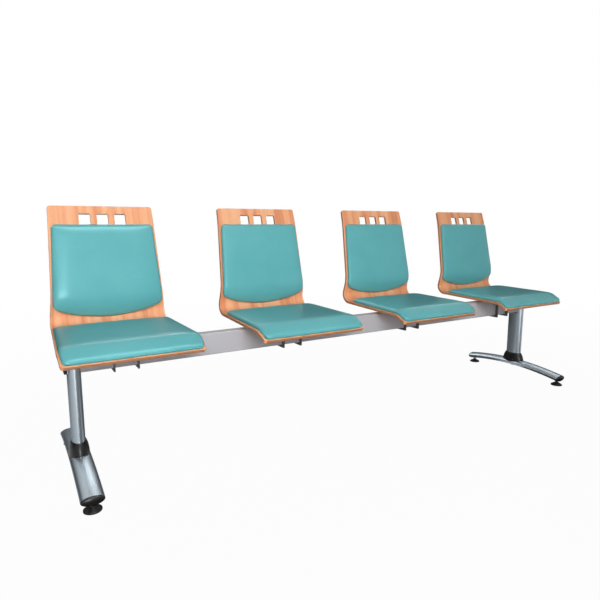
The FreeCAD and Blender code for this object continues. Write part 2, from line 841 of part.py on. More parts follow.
def tee_nuts():
    seat_level = "ply_thickness - tee_nut_sink"
    barrel = disc("tee_nut_barrel_diameter", "tee_nut_lift", seat_level)
    flange = disc("tee_nut_flange_diameter", seat_level, f"{seat_level} + tee_nut_flange_height")
    bore = disc("seat_screw_diameter + 2 * thread_clearance", "0", "ply_thickness")
    group_of("tee_nuts", barrel.fuse(flange).cut(bore), under_seat_spots())


def clamp_bars():
    """Bars behind the beam, one between the two cheeks of each seat"""
    width = 2 * value("cheek_inside")
    depth = value("cheek_front - clamp_bar_y")
    height = value("clamp_bar_height")
    corner = Vector(-width / 2, value("clamp_bar_y"), value("beam_middle_z") - height / 2)
    bar = Part.makeBox(width, depth, height, corner)
    radius = value("clamp_screw_diameter / 2 + thread_clearance")
    for sign in (-1, 1):
        mouth = Vector(sign * value("clamp_screw_x"), 0, value("beam_middle_z"))
        bar = bar.cut(Part.makeCylinder(radius, value("2 * cheek_front"), mouth, Vector(0, 1, 0)))
    spots = [Placement(Vector(value(seat_x(seat)), 0, 0), Rotation()) for seat in SEATS]
    group_of("clamp_bars", bar, spots)


def clamp_screws():
    """Screws through the clamp bars that press on the rear face of the beam"""
    shank = disc("clamp_screw_diameter", "beam_half_depth", "cheek_front")
    head = hexagon("clamp_screw_head_width", "cheek_front", "cheek_front + clamp_screw_head_height")
    rearward = Rotation(Vector(1, 0, 0), -90)
    spots = []
    for seat in SEATS:
        for sign in (-1, 1):
            x = value(f"{seat_x(seat)} + {sign} * clamp_screw_x")
            spots.append(Placement(Vector(x, 0, value("beam_middle_z")), rearward))
    group_of("clamp_screws", shank.fuse(head), spots)


def column_spots():
    """Upright placements on the axes of the two columns"""
    return [Placement(Vector(sign * value("column_x"), 0, 0), Rotation()) for sign in SIDES.values()]


def beam_bolts():
    end = "beam_bolt_end_z - beam_bolt_proud"
    shank = disc("beam_bolt_diameter", end, "beam_top_z")
    head = hexagon("beam_bolt_head_width", "beam_top_z", "beam_top_z + beam_bolt_head_height")
    group_of("beam_bolts", shank.fuse(head), column_spots())


def foot_bolts():
    head_top = "foot_bottom_z - foot_bolt_head_gap"
    head_low = f"{head_top} - foot_bolt_head_height"
    head = disc("foot_bolt_head_diameter", head_low, head_top)
    shank = disc("foot_bolt_diameter", head_top, "anchor_bottom_z + anchor_height")
    socket = hexagon("foot_bolt_socket_width", head_low, f"{head_low} + foot_bolt_socket_depth")
    group_of("foot_bolts", head.fuse(shank).cut(socket), column_spots())


# Beam

def beam():
    body = new_body("beam")
    section = new_sketch(body, "YZ_Plane")
    beam_outline(section, "0", "beam_radius")
    beam_outline(section, "beam_wall", "beam_radius - beam_wall")
    extrude(body, "Pad", section, "2 * beam_half_length", side="Symmetric")
    holes = new_sketch(body, "XY_Plane")
    for x in ("-column_x", "column_x"):
        draw_circle(holes, x, "0", "(beam_bolt_diameter + bolt_hole_clearance) / 2")
    extrude(body, "Pocket", holes, "3 * beam_top_z", side="Symmetric")
    place(body)


def beam_outline(sketch, inset, radius):
    """The beam's rounded rectangle, drawn in by an inset"""
    half = f"beam_half_depth - ({inset})"
    low = f"beam_bottom_z + ({inset})"
    high = f"beam_top_z - ({inset})"
    draw_box(sketch, f"-({half})", low, half, high, radius)


def beam_cap(side):
    """A plug in the beam's end, with a flange over its rim"""
    body = new_body("beam_cap_" + side)
    outward = SIDES[side] < 0
    end = f"{SIDES[side]} * beam_half_length"
    rim = new_sketch(body, "YZ_Plane", lift=end)
    beam_outline(rim, "0", "beam_radius")
    extrude(body, "Pad", rim, "beam_cap_flange", reverse=outward)
    plug = new_sketch(body, "YZ_Plane", lift=end)
    beam_outline(plug, "beam_wall + beam_cap_fit", "beam_radius - beam_wall")
    extrude(body, "Pad", plug, "beam_cap_plug", reverse=not outward)
    place(body)


# Columns

def foot_section(body, grow, hollow=False):
    """The foot tube's ellipse, in a sketch whose horizontal axis is the arch's centre"""
    section = new_sketch(body, "XZ_Plane")
    bind(section, AttachmentOffset__Base__y="foot_axis_z")
    centre = "foot_arch_radius"
    draw_ellipse(section, f"foot_half_width + {grow}", f"foot_half_height + {grow}", centre)
    if hollow:
        draw_ellipse(section, "foot_half_width - foot_wall", "foot_half_height - foot_wall", centre)
    return section


def cut_to_foot(body):
    """Cope a piece to the arched foot that it stands on"""
    envelope = foot_section(body, "column_fit")
    turn_profile(body, "Groove", envelope, (envelope, ["H_Axis"]), "2 * foot_sweep", symmetric=True)


def column_ellipse(sketch, inset):
    draw_ellipse(sketch, f"column_half_width - ({inset})", f"column_half_depth - ({inset})")


def column(side):
    """An elliptical tube, notched at the top for the beam and coped at the bottom to the foot"""
    body = new_body("column_" + side)
    section = new_sketch(body, "XY_Plane", lift="foot_centre_z")
    column_ellipse(section, "0")
    column_ellipse(section, "column_wall")
    extrude(body, "Pad", section, "beam_top_z - foot_centre_z")
    notch = new_sketch(body, "YZ_Plane")
    above = "beam_top_z + beam_height"
    draw_box(notch, "-notch_half_depth", "saddle_bottom_z", "notch_half_depth", above)
    extrude(body, "Pocket", notch, "4 * column_half_width", side="Symmetric")
    cut_to_foot(body)
    place(body, x=f"{SIDES[side]} * column_x")


def beam_saddle(side):
    """The plate in the notch that the beam rests on, with the weld nut under it"""
    body = new_body("beam_saddle_" + side)
    outline = new_sketch(body, "XY_Plane", lift="saddle_bottom_z")
    column_ellipse(outline, "0")
    extrude(body, "Pad", outline, "saddle_thickness")
    nut = new_sketch(body, "XY_Plane", lift="saddle_bottom_z")
    draw_circle(nut, "0", "0", "weld_nut_diameter / 2")
    extrude(body, "Pad", nut, "weld_nut_height", reverse=True)
    trim = new_sketch(body, "XY_Plane", lift="beam_bottom_z")
    wide = "column_half_width * 2"
    draw_box(trim, f"-({wide})", "beam_half_depth", wide, "2 * column_half_depth")
    draw_box(trim, f"-({wide})", "-2 * column_half_depth", wide, "-beam_half_depth")
    extrude(body, "Pocket", trim, "2 * saddle_thickness")
    bore = new_sketch(body, "XY_Plane", lift="beam_bottom_z")
    draw_circle(bore, "0", "0", "beam_bolt_diameter / 2 + thread_clearance")
    extrude(body, "Pocket", bore, "2 * (saddle_thickness + weld_nut_height)")
    place(body, x=f"{SIDES[side]} * column_x")


def column_anchor(side):
    """The threaded block in the lower end of a column that the foot is bolted to"""
    body = new_body("column_anchor_" + side)
    outline = new_sketch(body, "XY_Plane", lift="anchor_bottom_z")
    column_ellipse(outline, "column_wall + column_fit")
    draw_circle(outline, "0", "0", "foot_bolt_diameter / 2 + thread_clearance")
    extrude(body, "Pad", outline, "anchor_height")
    place(body, x=f"{SIDES[side]} * column_x")


def collar(side):
    """The barrel-shaped moulding that hides the joint between column and foot"""
    body = new_body("collar_" + side)
    rings = []
    for level in ("foot", "waist", "shoulder", "top"):
        ring = new_sketch(body, "XY_Plane", lift=f"foot_centre_z + collar_{level}_rise")
        side_reach = f"column_half_width + collar_{level}_side"
        front_reach = f"column_half_depth + collar_{level}_front"
        draw_ellipse(ring, side_reach, front_reach)
        rings.append(ring)
    barrel = body.newObject("PartDesign::AdditiveLoft", "Barrel")
    barrel.Profile = rings[0]
    barrel.Sections = rings[1:]
    throat = new_sketch(body, "XY_Plane", lift="foot_centre_z + collar_top_rise")
    column_ellipse(throat, "-column_fit")
    extrude(body, "Pocket", throat, "2 * collar_top_rise")
    cut_to_foot(body)
    place(body, x=f"{SIDES[side]} * column_x")


# Feet

def foot_tube(side):
    body = new_body("foot_tube_" + side)
    section = foot_section(body, "0", hollow=True)
    sweep = "2 * foot_sweep"
    turn_profile(body, "Revolution", section, (section, ["H_Axis"]), sweep, symmetric=True)
    bushes = new_sketch(body, "XY_Plane")
    for y in ("-glide_y", "glide_y"):
        draw_circle(bushes, "0", y, "bush_diameter / 2 + bush_fit")
    extrude(body, "Pocket", bushes, "bush_bottom_z + bush_length", reverse=True)
    bolt = new_sketch(body, "XY_Plane")
    draw_circle(bolt, "0", "0", "(foot_bolt_diameter + bolt_hole_clearance) / 2")
    extrude(body, "Pocket", bolt, "2 * foot_centre_z", reverse=True)
    place(body, x=f"{SIDES[side]} * column_x")


def foot_cap(side, end):
    """A domed cap whose plug is slotted for the bush; its XY plane is the tube's end"""
    body = new_body(f"foot_cap_{side}_{end}")
    dome = body.newObject("PartDesign::AdditiveEllipsoid", "Dome")
    bind(dome, Radius1="foot_cap_dome", Radius2="foot_half_width", Radius3="foot_half_height")
    dome.Angle1 = 0
    dome.Angle2 = 90
    plug = new_sketch(body, "XY_Plane")
    inset = "(foot_wall + foot_cap_fit)"
    draw_ellipse(plug, f"foot_half_width - {inset}", f"foot_half_height - {inset}")
    extrude(body, "Pad", plug, "foot_cap_plug", reverse=True)
    slot = new_sketch(body, "XY_Plane", lift="-foot_cap_web")
    draw_box(slot, "-foot_cap_slot", "-foot_half_height", "foot_cap_slot", "foot_half_height")
    extrude(body, "Pocket", slot, "foot_cap_plug")
    place(
        body,
        x=f"{SIDES[side]} * column_x",
        y=f"{ENDS[end]} * foot_half_length",
        z="foot_axis_z + foot_arch_radius * cos(foot_sweep)",
    )
    outward = -ENDS[end] * (90 + value("foot_sweep"))
    body.Placement = Placement(Vector(), Rotation(Vector(1, 0, 0), outward))


# Levelling glides

def place_glide(body, side, end):
    place(body, x=f"{SIDES[side]} * column_x", y=f"{ENDS[end]} * glide_y")


def glide_bush(side, end):
    """The threaded bush in the under side of the foot"""
    body = new_body(f"glide_bush_{side}_{end}")
    section = new_sketch(body, "XY_Plane", lift="bush_bottom_z")
    draw_circle(section, "0", "0", "bush_diameter / 2")
    draw_circle(section, "0", "0", "stud_bore")
    extrude(body, "Pad", section, "bush_length")
    place_glide(body, side, end)


def glide_stud(side, end):
    """The threaded stud, its lower end held in the pad, with a hexagon just under the bush"""
    body = new_body(f"glide_stud_{side}_{end}")
    start = "glide_floor_thickness + stud_end_play"
    rod = new_sketch(body, "XY_Plane", lift=start)
    draw_circle(rod, "0", "0", "stud_diameter / 2")
    extrude(body, "Pad", rod, f"bush_bottom_z + bush_length + stud_proud - ({start})")
    nut = new_sketch(body, "XY_Plane", lift="stud_hex_z")
    reach = "stud_hex_width / sqrt(3)"
    half = f"{reach} / 2"
    flat = "stud_hex_width / 2"
    draw_path(nut, [
        (reach, "0", None),
        (half, flat, None),
        (f"-({half})", flat, None),
        (f"-({reach})", "0", None),
        (f"-({half})", f"-({flat})", None),
        (half, f"-({flat})", None),
    ], closed=True)
    extrude(body, "Pad", nut, "stud_hex_height")
    place_glide(body, side, end)


def glide_pad(side, end):
    """The round foot that stands on the floor, with a socket for the stud"""
    body = new_body(f"glide_pad_{side}_{end}")
    half = new_sketch(body, "XZ_Plane")
    rim = "glide_pad_diameter / 2"
    draw_path(half, [
        ("0", "0", None),
        (rim, "0", None),
        (rim, "glide_rim_height", "glide_rim_radius"),
        ("glide_neck_diameter / 2", "glide_neck_z", None),
        ("stud_bore", "glide_neck_z", None),
        ("stud_bore", "glide_floor_thickness", None),
        ("0", "glide_floor_thickness", None),
    ], closed=True)
    turn_profile(body, "Revolution", half, (half, ["V_Axis"]), "360")
    place_glide(body, side, end)


# Checks before anything is written

def check_document():
    """Stop if an object failed, a cut removed nothing, or a piece isn't a sound solid"""
    for thing in doc.Objects:
        if "Invalid" in thing.State or "Error" in thing.State:
            raise RuntimeError(f"{thing.Label} failed: {thing.State}")
        if thing.TypeId in ("PartDesign::Pocket", "PartDesign::Groove"):
            if thing.Shape.Volume >= thing.BaseFeature.Shape.Volume - 1:
                raise RuntimeError(f"{thing.Label} cut nothing")
        if thing.TypeId == "Sketcher::SketchObject" and not thing.FullyConstrained:
            raise RuntimeError(f"{thing.Label} is not fully constrained")
    for node in nodes:
        if node.Shape.isNull() or not node.Shape.isValid() or not node.Shape.Solids:
            raise RuntimeError(f"{node.Label} has no sound solid")


def main():
    for seat in SEATS:
        ply_shell(seat)
        seat_pad(seat)
        back_pad(seat)
        seat_plate(seat)
        for side in SIDES:
            bracket_cheek(seat, side)
    seat_screws()
    tee_nuts()
    clamp_bars()
    clamp_screws()
    beam()
    for side in SIDES:
        beam_cap(side)
        column(side)
        beam_saddle(side)
        column_anchor(side)
        collar(side)
        foot_tube(side)
        for end in ENDS:
            foot_cap(side, end)
            glide_bush(side, end)
            glide_stud(side, end)
            glide_pad(side, end)
    beam_bolts()
    foot_bolts()
    doc.recompute()
    check_document()
    os.makedirs("parts", exist_ok=True)
    for node in nodes:
        node.Shape.exportStep(f"parts/{node.Label}.step")
    print(len(nodes), "nodes written")


main()
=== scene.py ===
"""Looks of the beam seating: bent plywood shells, vinyl pads, a painted beam and arched tube feet.

Lengths are in metres. X runs along the beam, the sitters face -Y, and Z is up. The shells and the
pads are made here, in place of the CAD solids of the same size. All other pieces keep their CAD
shape and only get a material.
"""
import json
import math

import bmesh
import bpy
import numpy as np
from mathutils import Matrix, Vector


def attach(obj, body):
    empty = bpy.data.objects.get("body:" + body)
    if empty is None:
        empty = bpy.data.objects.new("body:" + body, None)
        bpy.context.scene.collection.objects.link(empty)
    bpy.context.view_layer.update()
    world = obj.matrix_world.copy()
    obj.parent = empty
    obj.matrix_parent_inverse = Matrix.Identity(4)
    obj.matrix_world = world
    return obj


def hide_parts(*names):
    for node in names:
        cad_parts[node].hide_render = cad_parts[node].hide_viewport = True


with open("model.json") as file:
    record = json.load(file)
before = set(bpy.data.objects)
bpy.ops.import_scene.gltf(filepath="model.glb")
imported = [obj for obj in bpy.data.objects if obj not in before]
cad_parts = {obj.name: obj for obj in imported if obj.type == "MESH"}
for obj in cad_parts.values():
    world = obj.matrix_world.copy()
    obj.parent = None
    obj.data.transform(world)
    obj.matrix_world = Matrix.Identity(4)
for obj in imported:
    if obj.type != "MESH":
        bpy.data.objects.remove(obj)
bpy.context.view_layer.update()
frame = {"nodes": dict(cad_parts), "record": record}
scene = bpy.context.scene

BENCH = "bench"
SEATS = {"1": -0.9, "2": -0.3, "3": 0.3, "4": 0.9}

# Side view of the plywood shell: y, z and radius of the corners of its under and rear face
PLY = 0.010
SEAT_HEIGHT = 0.4146
SEAT_SLOPE = math.tan(math.radians(1.07))
CREASE_Y = -0.152
CREASE_RADIUS = 0.040
BEND_Y = 0.236
FRONT_RUN = 0.048
FRONT_DROP = 0.0247
CREASE_Z = SEAT_HEIGHT + CREASE_Y * SEAT_SLOPE
SHELL_CORNERS = [
    (CREASE_Y - FRONT_RUN, CREASE_Z - FRONT_DROP, None),
    (CREASE_Y, CREASE_Z, CREASE_RADIUS),
    (BEND_Y, SEAT_HEIGHT + BEND_Y * SEAT_SLOPE, 0.045),
    (BEND_Y - 0.025, SEAT_HEIGHT + 0.1044, 0.120),
    (BEND_Y + 0.0216, SEAT_HEIGHT + 0.3504, 0.400),
    (BEND_Y + 0.041, SEAT_HEIGHT + 0.4149, None),
]

# Half widths of the shell: against y on the seat, against z on the back
SEAT_WIDTHS = [(-0.24, 0.1995), (-0.142, 0.2054), (0.191, 0.192), (0.4, 0.192)]
BACK_WIDTHS = [(0.44, 0.192), (0.545, 0.1837), (0.8695, 0.1698)]
BACK_START_Z = 0.44

# Windows in the back, and the roundings of the shell
WINDOW_WIDTH = 0.038
WINDOW_PITCH = 0.0585
WINDOW_TOP_Z = 0.8045
WINDOW_SHIFTS = (-1, 0, 1)
WINDOW_CORNER = 0.003
SHELL_CORNER = 0.008
RIM_ROUNDING = 0.0011

# Mesh of the shell: its steps, and how the corners of its edge are told apart. A corner turns by
# 60 degrees or more, and a window's corner lies within a half width and above a level
SHELL_ROW_STEP = 0.006
TOP_ROW_STEP = 0.012
END_ROW_DEPTH = 0.012
WINDOW_STEP = 0.0095
SIDE_COLUMN_SHARE = 0.125
CORNER_COSINE = 0.5
WINDOW_ZONE_WIDTH = 0.1
WINDOW_ZONE_Z = 0.7
CORNER_SEGMENTS = 5
RIM_SEGMENTS = 2
SHARP_ANGLE = math.radians(50)
FACE_SLOT = 0
EDGE_SLOT = 1

# Steps of the searches along the shell
HALVINGS = 40
PLACE_STEP = 0.001
PLACES_AT_ONCE = 1000

# Sizes of the pads
PAD_GAP = 0.0004
PAD_EDGE = 0.015
PAD_CROWN = 0.007
PAD_BORDER = 0.060
PAD_ROUNDING = 0.013
PAD_TUCK = 0.003
PAD_CORNER = 0.017
PAD_MARGIN = 0.004
SEAT_PAD_FRONT_Y = -0.2036
SEAT_PAD_REAR_Y = 0.155
BACK_PAD_TOP_Z = 0.769
BACK_PAD_LOW_Z = 0.494
BACK_PAD_BOTTOM_Z = 0.450
BACK_PAD_TOP_WIDTH = 0.1664
BACK_PAD_LOW_WIDTH = 0.1824

# Mesh of a pad: its steps, the level of its side's top as a share of the edge height, and the ring
# of points half way down the side, as shares of that level and of the tuck
PAD_EDGE_PLACES = [0, 0.0025, 0.006, 0.011, 0.018, 0.027]
PAD_COLUMN_STEP = 0.012
SEAT_PAD_ROW_STEP = 0.006
BACK_PAD_ROW_STEP = 0.012
SIDE_TOP_SHARE = 0.5
RING_HEIGHT_SHARE = 0.45
RING_TUCK_SHARE = 0.25

# Cover of a pad: cloth blown up a little, its movement held under a cap and then evened out
CLOTH = {
    "quality": 6,
    "mass": 0.3,
    "tension_stiffness": 25,
    "compression_stiffness": 25,
    "shear_stiffness": 10,
    "bending_stiffness": 2,
    "use_pressure": True,
    "uniform_pressure_force": 2,
    "vertex_group_mass": "held",
}
SIMULATED_FRAMES = 20
SWELL_CAP = 0.0016
SWELL_SMOOTHING = 30

# Sockets of the Mix node that hold colours, since its number sockets have the same names
MIX_FIRST = 6
MIX_SECOND = 7
MIX_RESULT = 2

# Colour ramps: place on the ramp and linear colour
BEECH_STREAKS = [
    (0.36, (0.81, 0.320, 0.158)),
    (0.47, (0.96, 0.430, 0.225)),
    (0.58, (1.00, 0.530, 0.295)),
]
BEECH_PORES = [(0.3, (0.80, 0.72, 0.66)), (0.7, (1, 1, 1))]
BEECH_FLECKS = [(0.60, (1, 1, 1)), (0.68, (0.78, 0.62, 0.52))]
PLY_LAYERS = [
    (0.00, (0.60, 0.27, 0.135)),
    (0.44, (0.66, 0.31, 0.16)),
    (0.50, (0.34, 0.14, 0.07)),
    (0.56, (0.48, 0.205, 0.10)),
    (0.94, (0.50, 0.215, 0.105)),
    (1.00, (0.34, 0.14, 0.07)),
]
PLY_GRAIN = [(0.3, (0.7, 0.64, 0.6)), (0.7, (1, 1, 1))]
TEAL = [(0.30, (0.130, 0.455, 0.480)), (0.70, (0.150, 0.490, 0.515))]
TEAL_SPECKS = [(0.35, (0.86, 0.88, 0.88)), (0.65, (1, 1, 1))]
DARK_COAT = [(0.3, (0.085, 0.088, 0.094)), (0.7, (0.10, 0.103, 0.11))]
BEAM_COAT = [(0.3, (0.47, 0.47, 0.50)), (0.7, (0.50, 0.50, 0.53))]
BLACK_COAT = [(0.3, (0.02, 0.02, 0.021)), (0.7, (0.03, 0.03, 0.031))]
SILVER = [(0.3, (0.37, 0.425, 0.465)), (0.7, (0.40, 0.455, 0.495))]
ZINC = [(0.3, (0.55, 0.56, 0.57)), (0.7, (0.68, 0.68, 0.67))]
BLACK = [(0.3, (0.006, 0.006, 0.0065)), (0.7, (0.010, 0.010, 0.0105))]
TEAL_SHINE = (0.55, 0.95, 1.0, 1)
SILVER_RIM = (0.30, 0.34, 0.37, 1)
WHITE = (1, 1, 1, 1)

# Grain: how fine it is across, along and through the sheet, and for the silver in x, y and z
STREAK_FINENESS = (30, 0.45, 0)
PORE_FINENESS = (420, 9, 0)
FLECK_FINENESS = (1100, 210, 0)
PLY_GRAIN_FINENESS = (260, 260, 60)
SILVER_FINENESS = (700, 700, 30)
PLY_LAYER_PAIRS = 3.5

# Camera, solved from the photograph
IMAGE_WIDTH = 600
FOCAL_PIXELS = 497.8
SENSOR = 36
CAMERA_PLACE = Vector((-1.205143, -1.612820, 0.770368))
CAMERA_FORWARD = Vector((0.50397, 0.85050, -0.15054))
CAMERA_UP = Vector((0.07674, 0.12951, 0.98860))

# Floor and world: how much of the floor seen is plain white, near the object and far from it
FLOOR_REACH = 12.0
FLOOR_COLOUR = (0.4, 0.4, 0.4, 1)
NEAR_REACH = 1.0
NEAR_WHITE = 0.97
FAR_REACH = 4.0
FAR_WHITE = 1.0
AMBIENT = 0.16

# Lamps: place, point aimed at, width and height, power in watts. Glossy surfaces don't show the
# shading lamps, and nothing else shows the highlights
SHADING_LAMPS = {
    "key": ((-1.35, -2.7, 1.9), (-0.5, 0, 0.5), (2.0, 0.9), 77),
    "low": ((-0.8, -4.2, 0.7), (-0.2, 0, 0.4), (3.0, 1.0), 32),
    "rear": ((0.3, 3.6, 1.0), (0, 0.2, 0.5), (2.6, 1.2), 42),
}
BEHIND_LAMP = ((-0.75, 2.2, 2.2), (-0.9, 0, 0.3), (1.5, 1.2), 10)
HIGHLIGHTS = {
    "back": ((0.7, 4.5, 4.1), (0, 0, 0.3), (2.4, 1.2), 33),
    "upper": ((-0.4, -1.75, 3.3), (-0.8, 0.2, 0.76), (2.0, 0.35), 125),
    "left": ((-1.62, -2.70, 0.85), (-1.05, 0.25, 0.6), (0.3, 1.0), 75),
    "right": ((4.3, 1.9, 3.3), (1.0, 0, 0.2), (1.5, 0.8), 12),
}

# Cards that only glossy surfaces see: grey, corners of the pieces on the floor, and the upper
# corners of the walls that stand on it
CARD_LEVEL = 0.002
CARD_LEFT_X = -1.12
CARD_SPLIT_X = 0.2
CARD_RIGHT_X = 1.25
CARD_NEAR_Y = -4.0
CARD_BEAM_Y = -0.04
CARDS = {
    "front_card": (0.17, [
        [(CARD_LEFT_X, CARD_NEAR_Y), (CARD_SPLIT_X, CARD_NEAR_Y),
         (CARD_SPLIT_X, CARD_BEAM_Y), (CARD_LEFT_X, CARD_BEAM_Y)],
        [(CARD_LEFT_X, 0.10), (CARD_RIGHT_X, 0.10), (CARD_RIGHT_X, 0.7), (-1.0, 0.7)],
    ], []),
    "right_card": (0.04, [
        [(CARD_SPLIT_X, CARD_NEAR_Y), (CARD_RIGHT_X, CARD_NEAR_Y),
         (CARD_RIGHT_X, CARD_BEAM_Y), (CARD_SPLIT_X, CARD_BEAM_Y)],
    ], []),
    "left_card": (0.85, [
        [(-2.8, -0.12), (CARD_LEFT_X, -0.12), (CARD_LEFT_X, 0.95), (-2.8, 0.95)],
    ], []),
    "dark_card": (0.04, [
        [(-9.0, 1.0), (6.2, 0.75), (6.2, 6.4), (-4.5, 6.4)],
    ], [
        [(-9.0, 1.0, 5.0), (-4.5, 6.4, 5.0)],
        [(-4.5, 6.4, 3.0), (0.2, 6.4, 3.0)],
        [(0.2, 6.4, 3.2), (6.2, 0.4, 3.2)],
    ]),
}


# Rounded lines

def stretches(corners):
    """The straight and round stretches of a line whose corners may be rounded.

    Each is its length and a function from a distance along it to a point and a direction.
    """
    found = []
    here = Vector(corners[0][:2])
    for index in range(1, len(corners)):
        corner = Vector(corners[index][:2])
        radius = corners[index][2]
        arriving = (corner - here).normalized()
        if radius is None:
            found.append(straight(here, corner))
            continue
        leaving = (Vector(corners[index + 1][:2]) - corner).normalized()
        turn = math.atan2(arriving.x * leaving.y - arriving.y * leaving.x, arriving.dot(leaving))
        reach = radius * math.tan(abs(turn) / 2)
        found.append(straight(here, corner - arriving * reach))
        found.append(arc(corner - arriving * reach, arriving, radius, turn))
        here = corner + leaving * reach
    return found


def straight(start, end):
    """A straight stretch between two points"""
    direction = (end - start).normalized()
    return (end - start).length, lambda at: (start + direction * at, direction)


def arc(start, direction, radius, turn):
    """A round stretch that leaves start in a direction and turns by an angle"""
    bend = math.copysign(1 / radius, turn)

    def place(at):
        angle = at * bend
        left = Vector((-direction.y, direction.x))
        point = start + direction * (math.sin(angle) / bend) + left * ((1 - math.cos(angle)) / bend)
        return point, direction * math.cos(angle) + left * math.sin(angle)

    return radius * abs(turn), place


STRETCHES = stretches(SHELL_CORNERS)
SHELL_LENGTH = sum(length for length, _ in STRETCHES)
FRONT_LENGTH = STRETCHES[0][0]
CREASE_LENGTH = STRETCHES[1][0]
HALF_SHELL = SHELL_LENGTH / 2


def shell_at(along):
    """Point and outward normal (up on the seat, forward on the back) of the under and rear face"""
    left = along
    for length, place in STRETCHES:
        if left <= length or place is STRETCHES[-1][1]:
            point, direction = place(left)
            return point, Vector((-direction.y, direction.x))
        left -= length


def sheet_point(x, along, height):
    """The 3-D point at a height above the shell's under and rear face"""
    point, normal = shell_at(along)
    spot = point + normal * height
    return Vector((x, spot.x, spot.y))


def along_where(axis, wanted, height, low=0.0, high=SHELL_LENGTH):
    """Distance along the shell where y (axis 1) or z (axis 2) has a given value, by halving"""
    for _ in range(HALVINGS):
        middle = (low + high) / 2
        if sheet_point(0, middle, height)[axis] < wanted:
            low = middle
        else:
            high = middle
    return (low + high) / 2


def read_line(points, at):
    """The value of a line of (place, value) points at a place"""
    places = [place for place, _ in points]
    values = [value for _, value in points]
    return float(np.interp(at, places, values))


def shell_half_width(along):
    """Half width of the shell at a distance along it"""
    point, _ = shell_at(along)
    if point.y < BACK_START_Z:
        return read_line(SEAT_WIDTHS, point.x)
    return read_line(BACK_WIDTHS, point.y)


def spread(low, high, step):
    """Evenly spaced places from low to high, about a step apart"""
    count = max(1, round((high - low) / step))
    return [low + (high - low) * index / count for index in range(count + 1)]


def cell_ring(i, j):
    """The four corners of a cell of a grid, in the order of its face"""
    return [(i, j), (i, j + 1), (i + 1, j + 1), (i + 1, j)]


# Plywood shells

def shell_rows():
    """Distances along the shell where its mesh has a row, with one at each window edge"""
    middle_height = PLY / 2
    window_low = along_where(2, WINDOW_TOP_Z - WINDOW_WIDTH, middle_height, low=HALF_SHELL)
    window_high = along_where(2, WINDOW_TOP_Z, middle_height, low=HALF_SHELL)
    rows = [0.0]
    rows += spread(END_ROW_DEPTH, window_low, SHELL_ROW_STEP)
    rows += spread(window_low, window_high, WINDOW_STEP)[1:]
    rows += spread(window_high, SHELL_LENGTH - END_ROW_DEPTH, TOP_ROW_STEP)[1:]
    rows.append(SHELL_LENGTH)
    return rows, window_low, window_high


def shell_columns():
    """Columns across the shell: fixed ones round the windows, then shares of what is left"""
    edges = []
    for shift in WINDOW_SHIFTS:
        centre = shift * WINDOW_PITCH
        edges += [centre - WINDOW_WIDTH / 2, centre + WINDOW_WIDTH / 2]
    fixed = []
    for low, high in zip(edges, edges[1:]):
        fixed += spread(low, high, WINDOW_STEP)[:-1]
    fixed.append(edges[-1])
    shares = spread(0, 1, SIDE_COLUMN_SHARE)[1:]
    return fixed, shares


def in_window(x, along, window_low, window_high):
    """Whether a place on the shell lies in one of its windows"""
    if not window_low < along < window_high:
        return False
    return any(abs(x - shift * WINDOW_PITCH) < WINDOW_WIDTH / 2 for shift in WINDOW_SHIFTS)


def shell_mesh():
    """A closed sheet with windows, rounded corners and softened rims"""
    rows, window_low, window_high = shell_rows()
    fixed, shares = shell_columns()
    inner = fixed[-1]
    grid = []
    for along in rows:
        rest = shell_half_width(along) - inner
        right = [inner + rest * share for share in shares]
        columns = [-x for x in reversed(right)] + fixed + right
        grid.append([(x, along) for x in columns])
    mesh = bmesh.new()
    layers = []
    for height in (0.0, PLY):
        layers.append([[mesh.verts.new(sheet_point(x, s, height)) for x, s in row] for row in grid])
    below, above = layers
    rims = {}
    for i in range(len(grid) - 1):
        for j in range(len(grid[0]) - 1):
            x = (grid[i][j][0] + grid[i][j + 1][0]) / 2
            along = (grid[i][j][1] + grid[i + 1][j][1]) / 2
            if in_window(x, along, window_low, window_high):
                continue
            ring = cell_ring(i, j)
            mesh.faces.new([above[a][b] for a, b in ring])
            mesh.faces.new([below[a][b] for a, b in reversed(ring)])
            for start, end in zip(ring, ring[1:] + ring[:1]):
                if (end, start) in rims:
                    del rims[(end, start)]
                else:
                    rims[(start, end)] = True
    for (a, b), (c, d) in rims:
        face = mesh.faces.new([below[a][b], below[c][d], above[c][d], above[a][b]])
        face.material_index = EDGE_SLOT
    mesh.normal_update()
    round_corners(mesh)
    soften_rims(mesh)
    return mesh


def round_edges(mesh, edges, radius, segments, **settings):
    """Round some edges of a mesh"""
    bmesh.ops.bevel(
        mesh, geom=edges, offset=radius, offset_type="OFFSET", segments=segments, profile=0.5,
        affect="EDGES", clamp_overlap=True, **settings,
    )


def round_corners(mesh):
    """Round the sheet's outer corners and the corners of its windows"""
    outer = []
    inner = []
    for edge in mesh.edges:
        sides = [face for face in edge.link_faces if face.material_index == EDGE_SLOT]
        if len(sides) == 2 and sides[0].normal.dot(sides[1].normal) < CORNER_COSINE:
            lowest = min(vert.co.z for vert in edge.verts)
            across = abs(edge.verts[0].co.x)
            at_window = across < WINDOW_ZONE_WIDTH and lowest > WINDOW_ZONE_Z
            (inner if at_window else outer).append(edge)
    for edges, radius in ((outer, SHELL_CORNER), (inner, WINDOW_CORNER)):
        round_edges(mesh, edges, radius, CORNER_SEGMENTS)
        mesh.normal_update()


def soften_rims(mesh):
    """A small rounding where the sheet's faces meet its edge"""
    edges = []
    for edge in mesh.edges:
        kinds = {face.material_index for face in edge.link_faces}
        if kinds == {FACE_SLOT, EDGE_SLOT}:
            edges.append(edge)
    round_edges(mesh, edges, RIM_ROUNDING, RIM_SEGMENTS, material=EDGE_SLOT)


